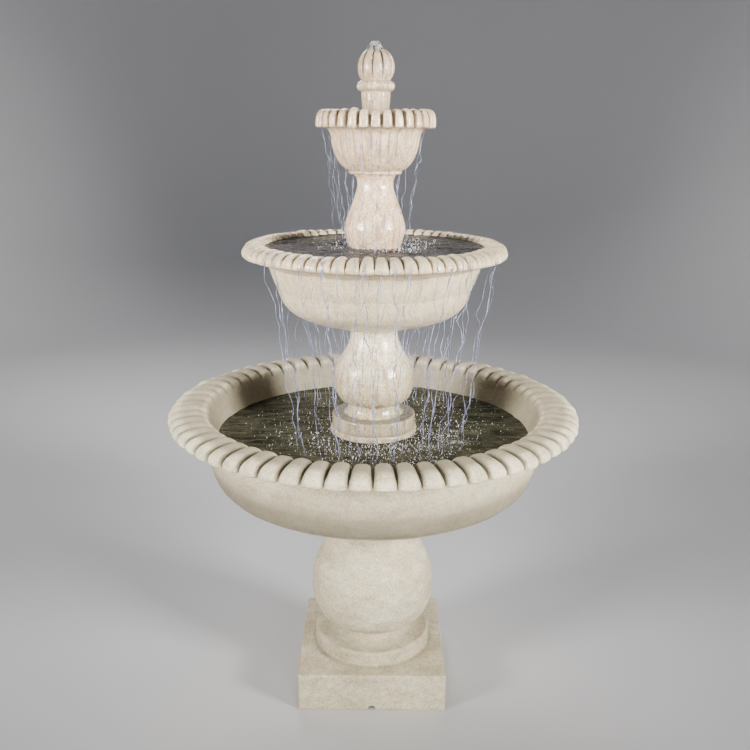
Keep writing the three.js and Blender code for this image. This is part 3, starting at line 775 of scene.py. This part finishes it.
def stone_tones(n, see, pale, deep, warm, sand, wetness):
    """Mottled, wispy and speckled stone. A wet one has dark runs with painted highlight streaks between them,
    and grows pinker up the fountain.
    """
    colour = n.mix(n.remap(see.mottling, 0.4, 0.62), deep, pale)
    colour = n.mix(n.remap(see.warmth, 0.46, 0.62, 0, 0.75), colour, warm)
    colour = n.mix(n.remap(see.wisps, 0.48, 0.34, 0, 0.72), colour, darker(deep, 0.58))
    colour = n.mix(n.remap(see.wisps, 0.52, 0.64, 0, 0.6), colour, HIGHLIGHT)
    colour = n.mix(n.remap(see.blotches, 0.45, 0.72, 0, 0.7), colour, darker(deep, 0.6))
    colour = n.mix(n.remap(see.speckle, 0.52, 0.59, 0, 0.95 * sand), colour, HIGHLIGHT)
    colour = n.mix(n.remap(see.speckle, 0.47, 0.4, 0, 0.9 * sand), colour, darker(deep, 0.32))
    if wetness:
        # Dark stain down the runs, with painted highlight streaks between them.
        colour = n.mix(n.remap(see.runs, 0.48, 0.38, 0, wetness), colour, darker(warm, 0.42))
        colour = n.mix(n.remap(see.runs, 0.53, 0.63, 0, 0.8 * wetness), colour, HIGHLIGHT)
        upper = n.remap(n.height(), 1.0, 1.2, 0, 0.9 * wetness)
        colour = n.mix(upper, colour, PINK_CAST, "MULTIPLY")
        lower = n.remap(n.height(), 1.0, 0.9, 0, wetness)
        colour = n.mix(lower, colour, GREEN_CAST, "MULTIPLY")
    return colour


def stone_stains(n, see, colour, stain, wetness):
    """Darkens damp stone, paints dirt and shade into grooves, creases and pinholes, a painted shadow onto the
    pedestal's neck under the basin, and painted shade into the hollows of the grain.
    """
    crown = n.sum("MULTIPLY", n.remap(n.facing_up(), 0.35, 0.9), n.remap(see.damp, 0.1, 0.6))
    crown = n.sum("MULTIPLY", crown, n.remap(see.speckle, 0.42, 0.58, 0.15, 1))
    colour = n.mix(n.sum("MULTIPLY", crown, 0.7), colour, stain)
    patches = n.remap(n.noise(4.2, 5, 0.6), 0.34, 0.66, 0.76 * (1 - wetness), 0.92 - 0.67 * wetness)
    colour = n.mix(n.sum("MULTIPLY", see.damp, patches), colour, stain)
    # Dirt and painted shade where the piece's share of dirt and shade is high.
    colour = n.mix(n.remap(see.dirt_and_shade, 0.35, 1, 0, 0.72 + 0.2 * wetness), colour, DIRT_AND_SHADE)
    # Painted shade in the hollows of the grain.
    colour = n.mix(n.remap(see.grain, 0.3, 0.7, 0.3, 0), colour, rgb(0.26, 0.22, 0.15))
    # Dirt and painted shade in the pinholes.
    return n.mix(n.sum("MULTIPLY", see.pinholes, 0.7), colour, DIRT_AND_SHADE)


def stone_relief(n, see):
    normal = n.bump(see.grain, 0.5, 0.001)
    normal = n.bump(see.blotches, 0.75, 0.006, normal)
    return n.bump(see.pinholes, 0.4, -0.0015, normal)


def cast_stone(name, pale, deep, warm, stain, sand, wetness):
    """Cast stone: sandy grain, pinholes, soft mottling, wisps round it, dirt and painted shade in the
    grooves, and darker stone where it is damp. sand is how strong its speckles are, and wetness how
    wet the whole piece is, both from 0 to 1. A wet piece also has a glossy film and white specks
    painted where beads of water would glint."""
    n = Nodes(name)
    see = stone_patterns(n)
    colour = stone_tones(n, see, pale, deep, warm, sand, wetness)
    colour = stone_stains(n, see, colour, stain, wetness)
    film = n.sum("MAXIMUM", n.sum("MULTIPLY", see.damp, 0.6), wetness)
    film = n.sum("MULTIPLY", film, n.remap(see.runs, 0.38, 0.6, 0.5, 1))
    normal = stone_relief(n, see)
    if wetness:
        # White specks painted where beads of water would glint.
        painted_glints = n.sum("MULTIPLY", n.remap(n.noise(150, 4, 0.7), 0.58, 0.64), n.remap(see.runs, 0.5, 0.6))
        colour = n.mix(n.sum("MULTIPLY", painted_glints, 0.9 * wetness), colour, rgb(0.98, 0.97, 0.96))
        normal = n.bump(see.runs, 0.6 * wetness, 0.006, normal)
        film_normal = n.bump(n.noise(110, 4, 0.65), 0.3, 0.002, n.bump(see.runs, 0.15, 0.003))
        n.link(film_normal, n.shader.inputs["Coat Normal"])
    roughness = n.remap(film, 0, 1, 0.92, 0.24)
    return n.finish(colour, roughness, normal, Coat_Weight=wetness, Coat_Roughness=0.05)


def pool_water(name, tint, light, foam_tint):
    """Dark rippled water with painted reflection streaks across it, flecked with bubbles where the strands
    land.
    """
    n = Nodes(name)
    painted_reflection_streaks = n.noise(1, 6, 0.68, n.stretched((14, 60, 14)))
    flecks = n.noise(250, 4, 0.72)
    foam = n.attribute("foam")
    # Painted reflection streaks between the dark tint and the light tone.
    body = n.mix(n.remap(painted_reflection_streaks, 0.4, 0.62), tint, light)
    body = n.mix(n.remap(foam, 0.3, 1.6, 0, 0.35), body, rgb(*(1.5 * c for c in light[:3])))
    edge = n.sum("SUBTRACT", 0.7, n.sum("MULTIPLY", foam, 0.13))
    white = n.sum("MULTIPLY", n.remap(n.sum("SUBTRACT", flecks, edge), 0, 0.03), n.remap(foam, 0.05, 0.5))
    colour = n.mix(n.sum("MULTIPLY", white, 0.75), body, foam_tint)
    fine = n.bump(n.noise(60, 5, 0.65), 0.9, 0.018)
    return n.finish(colour, n.remap(white, 0, 1, 0.05, 0.4), fine, IOR=1.333, Specular_IOR_Level=0.05)


def clear_water(name, shadow, light, transmission):
    """Moving water in the air: two tones of it, very smooth, and partly clear."""
    n = Nodes(name)
    colour = n.mix(n.remap(n.noise(110, 4, 0.65), 0.4, 0.6), shadow, light)
    normal = n.bump(n.noise(240, 2), 0.3, 0.001)
    return n.finish(colour, 0.06, normal, IOR=1.333, Transmission_Weight=transmission)


def metal(name, colour, dull, roughness, grain_scale):
    """A metal with fine drawn scratches and duller patches."""
    n = Nodes(name)
    patches = n.noise(60, 5, 0.65)
    scratches = n.noise(1, 4, 0.6, n.stretched(grain_scale))
    tone = n.mix(n.remap(patches, 0.42, 0.68), colour, dull)
    rough = n.remap(scratches, 0.3, 0.7, roughness, roughness + 0.22)
    return n.finish(tone, rough, n.bump(scratches, 0.15, 0.0004), Metallic=1.0)


def moulded(name, colour, worn, roughness, texture_scale, depth=0.0003):
    """Moulded plastic or rubber with a fine spark texture and paler scuffs."""
    n = Nodes(name)
    scuffs = n.noise(70, 6, 0.7)
    texture = n.noise(texture_scale, 2, 0.6)
    tone = n.mix(n.remap(scuffs, 0.55, 0.8, 0, 0.6), colour, worn)
    rough = n.remap(scuffs, 0.35, 0.75, roughness, min(1, roughness + 0.25))
    return n.finish(tone, rough, n.bump(texture, 0.4, depth))


def soft_tube(name):
    """Clear vinyl, slightly milky, with faint extrusion lines along it."""
    n = Nodes(name)
    milk = n.noise(45, 4)
    lines = n.noise(1, 3, 0.6, n.stretched((900, 900, 8)))
    tone = n.mix(n.remap(milk, 0.35, 0.7), rgb(0.74, 0.78, 0.74), rgb(0.86, 0.88, 0.84))
    rough = n.remap(milk, 0.3, 0.7, 0.12, 0.3)
    return n.finish(tone, rough, n.bump(lines, 0.12, 0.0003), Transmission_Weight=0.45)


def studio(name):
    """The plain pale floor and its sweep."""
    n = Nodes(name)
    tone = n.mix(n.noise(1.5, 3), rgb(0.60, 0.60, 0.62), rgb(0.63, 0.63, 0.65))
    return n.finish(tone, 0.85)


def make_materials():
    return {
        "dry_stone": cast_stone("dry_stone", rgb(0.78, 0.70, 0.47), rgb(0.63, 0.56, 0.37),
                                rgb(0.73, 0.58, 0.38), rgb(0.13, 0.11, 0.068), 0.4, 0.0),
        "cream_stone": cast_stone("cream_stone", rgb(0.88, 0.78, 0.53), rgb(0.74, 0.66, 0.43),
                                  rgb(0.86, 0.62, 0.44), rgb(0.30, 0.27, 0.16), 0.75, 0.55),
        "wet_stone": cast_stone("wet_stone", rgb(0.88, 0.75, 0.52), rgb(0.70, 0.61, 0.39),
                                rgb(0.84, 0.55, 0.38), rgb(0.30, 0.26, 0.16), 0.9, 0.8),
        "lower_water": pool_water("lower_water", rgb(0.015, 0.016, 0.009), rgb(0.085, 0.080, 0.050),
                                  rgb(0.80, 0.80, 0.80)),
        "middle_water": pool_water("middle_water", rgb(0.008, 0.008, 0.010), rgb(0.085, 0.080, 0.080),
                                   rgb(0.80, 0.80, 0.83)),
        "falling_water": clear_water("falling_water", rgb(0.10, 0.11, 0.19), rgb(0.30, 0.32, 0.46), 0.15),
        "spray": clear_water("spray", rgb(0.72, 0.73, 0.78), rgb(0.96, 0.96, 0.98), 0.15),
        "welling_water": clear_water("welling_water", rgb(0.08, 0.08, 0.06), rgb(0.46, 0.45, 0.42), 0.5),
        "brass": metal("brass", rgb(0.34, 0.26, 0.13), rgb(0.10, 0.09, 0.06), 0.3, (40, 40, 400)),
        "stainless": metal("stainless", rgb(0.66, 0.67, 0.68), rgb(0.48, 0.48, 0.48), 0.22, (60, 60, 1200)),
        "rubber": moulded("rubber", rgb(0.020, 0.020, 0.022), rgb(0.075, 0.073, 0.07), 0.62, 1400),
        "pump_plastic": moulded("pump_plastic", rgb(0.018, 0.020, 0.023), rgb(0.06, 0.06, 0.062), 0.38, 1900),
        "accent_plastic": moulded("accent_plastic", rgb(0.03, 0.12, 0.27), rgb(0.09, 0.2, 0.34), 0.28, 1500),
        "magnet": moulded("magnet", rgb(0.05, 0.048, 0.05), rgb(0.12, 0.11, 0.11), 0.45, 2600),
        "ceramic": moulded("ceramic", rgb(0.82, 0.80, 0.75), rgb(0.68, 0.66, 0.60), 0.12, 2200, 0.0001),
        "vinyl": soft_tube("vinyl"),
        "studio": studio("studio"),
    }


# ---------------------------------------------------------------- assembly
def dress(thing, material):
    thing.data.materials.clear()
    thing.data.materials.append(material)


def add_stone(materials):
    rows = [
        (base_pedestal, "base_pedestal", "fountain", "dry_stone"),
        (lower_basin, "lower_basin", "fountain", "dry_stone"),
        (pump_housing, "pump_housing", "fountain", "wet_stone"),
        (middle_column, "middle_column", "fountain", "wet_stone"),
        (middle_bowl, "middle_bowl", "fountain", "cream_stone"),
        (upper_column, "upper_column", "fountain", "wet_stone"),
        (top_bowl, "top_bowl", "fountain", "wet_stone"),
        (finial, "finial", "finial", "wet_stone"),
    ]
    for build, node, body, slot in rows:
        thing = build()
        shade(thing, STONE_SHARP_ANGLE)
        dress(thing, materials[slot])
        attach(thing, body)
        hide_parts(node)


def landing_sources(count, radius, spread):
    """Places round the axis where falling water lands: (x, y), strength and the rings' pitch."""
    found = []
    for _ in range(count):
        a, r = rng.uniform(0, 2 * math.pi), radius + rng.normal(0, spread)
        found.append(((r * math.sin(a), -r * math.cos(a)), rng.uniform(0.4, 1.1), rng.uniform(11, 34)))
    return found


def strand_angles(lobes, offset, kept, doubled, widest):
    """Angles of strands that hang from some of the lobes, and from a few of them in pairs. None
    hang at the sides, where the sine of the angle is more than widest."""
    pitch = 2 * math.pi / lobes
    hung = [(k + offset + rng.normal(0, 0.2)) * pitch for k in range(lobes) if rng.random() < kept]
    hung = [a for a in hung if abs(math.sin(a)) < widest]
    return hung + [a + rng.normal(0, 0.3) * pitch for a in hung if rng.random() < doubled]


def add_water(materials):
    lower = landing_sources(46, 250, 45)
    middle = landing_sources(22, 100, 22)
    top = landing_sources(8, 60, 14)
    rim, top_rim = level("middle_bowl"), level("top_bowl")
    drape = [(312, rim + 226.5), (328, rim + 223.5), (338, rim + 215), (342.5, rim + 203), (342, rim + 191)]
    pieces = [
        (pool("lower_pool_water", LOWER_WATER, 116, 423, 150, 640, lower, 55, 0.9, 0.8), "lower_water"),
        (pool("middle_pool_water", MIDDLE_WATER, 62, 283.5, 110, 480, middle, 60, 0.8, 0.3), "middle_water"),
        (pool("top_pool_water", TOP_WATER, 22, 106, 46, 240, top, 40, 0.6, 0.3), "middle_water"),
        (strands("middle_streams", strand_angles(MIDDLE_LOBES, 0.5, 0.9, 0.5, 0.85), drape,
                 (258, LOWER_WATER - 1), 20, 5.2, 0.78), "falling_water"),
        (strands("top_streams", strand_angles(TOP_LOBES, 0.5, 0.75, 0.35, 0.95), [(143, top_rim + 110)],
                 (92, MIDDLE_WATER - 1), 18, 3.6, 0.66), "falling_water"),
        (spray("lower_splashes", 1700, 118, 390, LOWER_WATER, 10, 0.52), "spray"),
        (spray("middle_splashes", 320, 66, 190, MIDDLE_WATER, 6, 0.55), "spray"),
    ]
    for thing, material in pieces:
        dress(thing, materials[material])
        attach(thing, "fountain")
    welling = gurgle()
    dress(welling, materials["welling_water"])
    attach(welling, "finial")


def dress_cad_nodes(materials):
    """Gives each carried-over CAD node its slot's material and softens its edges."""
    for part in frame["record"]["subparts"]:
        node = frame["nodes"][part["node"]]
        dress(node, materials[part["material_slot"]])
        bevel = node.modifiers.new("soft_edges", "BEVEL")
        bevel.width = 0.4 * MM
        bevel.segments = 2
        bevel.limit_method = "ANGLE"
        bevel.angle_limit = math.radians(40)
        shade(node, CAD_SHARP_ANGLE)


# ---------------------------------------------------------------- studio
def add_stage(materials):
    """A round pale floor that sweeps up into a plain wall."""
    sweep = curve((4400, 0), (5600, 0), (6400, 700), (6400, 2000), 20)
    rows = [(4400, 0), *sweep, (6400, 5200)]
    segments = 128
    points = [(r * math.sin(t), -r * math.cos(t), z) for r, z in rows
              for t in (2 * math.pi * k / segments for k in range(segments))]
    faces = [tuple(reversed(f)) for f in grid_faces(len(rows), segments, False)]
    points.append((0, 0, 0))
    faces += [(len(points) - 1, k, (k + 1) % segments) for k in range(segments)]
    floor = new_object("studio_sweep", points, faces)
    dress(floor, materials["studio"])
    floor.data.shade_smooth()


def add_light(name, place, aim, size, spread, power, tint):
    light = bpy.data.lights.new(name, "AREA")
    light.shape = "RECTANGLE"
    light.size, light.size_y = size
    light.spread = math.radians(spread)
    light.energy = power
    light.color = tint
    thing = bpy.data.objects.new(name, light)
    thing.location = place
    thing.rotation_euler = (Vector(aim) - Vector(place)).to_track_quat("-Z", "Y").to_euler()
    bpy.context.scene.collection.objects.link(thing)


def add_lights():
    world = bpy.data.worlds.new("studio_air")
    world.use_nodes = True
    background = world.node_tree.nodes["Background"]
    background.inputs["Color"].default_value = rgb(0.95, 0.97, 1.0)
    background.inputs["Strength"].default_value = 0.26
    bpy.context.scene.world = world
    upper = (0, 0, 1.35)
    lower = (0, 0, 0.5)
    add_light("key", (2.6, -1.8, 1.95), upper, (0.9, 1.1), 48, 40, (1.0, 0.98, 0.95))
    add_light("fill", (-2.5, -1.7, 1.85), upper, (0.9, 1.1), 48, 30, (1.0, 0.97, 0.94))
    add_light("front", (0.7, -3.0, 0.7), lower, (0.9, 0.6), 180, 68, (1.0, 0.985, 0.95))
    add_light("rear", (-0.6, 2.9, 3.3), lower, (1.4, 1.0), 180, 90, (1.0, 0.98, 0.96))


def add_camera():
    camera = bpy.data.cameras.new("camera")
    camera.sensor_width = SENSOR_WIDTH
    camera.lens = CAMERA_LENS
    thing = bpy.data.objects.new("camera", camera)
    turn = Matrix.Rotation(math.pi / 2 - CAMERA_PITCH, 4, "X") @ Matrix.Rotation(CAMERA_ROLL, 4, "Z")
    thing.matrix_world = Matrix.Translation(CAMERA_PLACE) @ turn
    bpy.context.scene.collection.objects.link(thing)
    bpy.context.scene.camera = thing


add_camera()
materials = make_materials()
dress_cad_nodes(materials)
add_stone(materials)
add_water(materials)
add_stage(materials)
add_lights()
